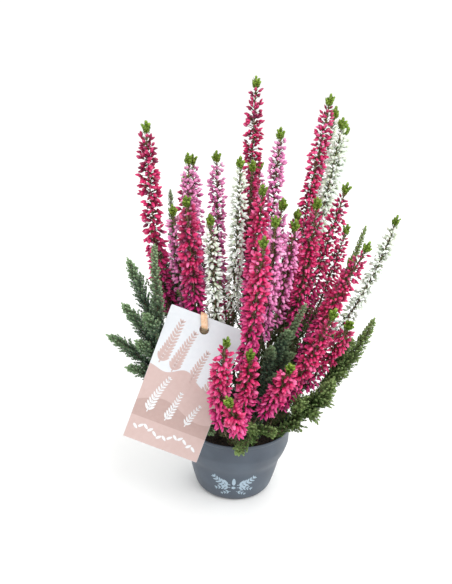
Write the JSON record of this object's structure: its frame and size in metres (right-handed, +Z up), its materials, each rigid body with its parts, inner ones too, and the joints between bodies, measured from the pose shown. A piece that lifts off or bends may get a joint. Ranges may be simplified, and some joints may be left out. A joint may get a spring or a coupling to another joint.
{
  "type": "potted heather plant",
  "caption": "Bud heather in a low round plastic pot: upright spikes of crimson, pink and white buds over fine green foliage, with a hang tag on a rubber loop.",
  "frame": {"origin": "centre of the pot's flat base, on the surface it stands on", "axes": "+Z up along the pot's axis, -Y to the front, where the tag hangs, +X to the right"},
  "size_m": [0.253, 0.2387, 0.381],
  "materials": {
    "crimson_buds": "waxy closed buds, crimson at the tips and pinker low down",
    "pink_buds": "waxy closed buds, lilac pink with darker undersides",
    "white_buds": "waxy closed buds, cream white with green at the calyx",
    "stems": "brown woody stems with fine scale leaves and fresh green tips",
    "shoots": "matt grey-green scale leaves",
    "peat": "damp crumbly peat",
    "pot": "thin satin plastic, slate grey, with a plain pale print",
    "card": "smooth card, white above and dusty rose below",
    "rubber": "matt natural rubber"
  },
  "bodies": {
    "root": {"buds_crimson_left_1": "crimson_buds", "buds_crimson_left_2": "crimson_buds", "buds_crimson_left_3": "crimson_buds", "stems_crimson_left": "stems", "buds_crimson_back_1": "crimson_buds", "buds_crimson_back_2": "crimson_buds", "buds_crimson_back_3": "crimson_buds", "stems_crimson_back": "stems", "buds_crimson_right_1": "crimson_buds", "buds_crimson_right_2": "crimson_buds", "buds_crimson_right_3": "crimson_buds", "buds_crimson_right_4": "crimson_buds", "buds_crimson_right_5": "crimson_buds", "buds_crimson_right_6": "crimson_buds", "buds_crimson_right_7": "crimson_buds", "buds_crimson_right_8": "crimson_buds", "buds_crimson_right_9": "crimson_buds", "stems_crimson_right": "stems", "buds_crimson_front_1": "crimson_buds", "buds_crimson_front_2": "crimson_buds", "buds_crimson_front_3": "crimson_buds", "buds_crimson_front_4": "crimson_buds", "buds_crimson_front_5": "crimson_buds", "buds_crimson_front_6": "crimson_buds", "stems_crimson_front": "stems", "buds_pink_left_1": "pink_buds", "buds_pink_left_2": "pink_buds", "buds_pink_left_3": "pink_buds", "buds_pink_left_4": "pink_buds", "buds_pink_left_5": "pink_buds", "stems_pink_left": "stems", "buds_pink_middle_1": "pink_buds", "buds_pink_middle_2": "pink_buds", "buds_pink_middle_3": "pink_buds", "buds_pink_middle_4": "pink_buds", "buds_pink_middle_5": "pink_buds", "buds_pink_middle_6": "pink_buds", "stems_pink_middle": "stems", "buds_white_front_1": "white_buds", "buds_white_front_2": "white_buds", "stems_white_front": "stems", "buds_white_right_1": "white_buds", "buds_white_right_2": "white_buds", "buds_white_right_3": "white_buds", "buds_white_right_4": "white_buds", "buds_white_right_5": "white_buds", "stems_white_right": "stems", "shoot_left": "shoots", "shoot_left_back": "shoots", "shoot_middle": "shoots", "shoot_right": "shoots", "shoot_right_low": "shoots", "shoot_right_back": "shoots", "shoot_front_low": "shoots", "shoot_back_left": "shoots", "shoot_back_right": "shoots", "pot": "pot", "peat": "peat", "tag": "card", "rubber_loop": "rubber"}
  },
  "joints": []
}
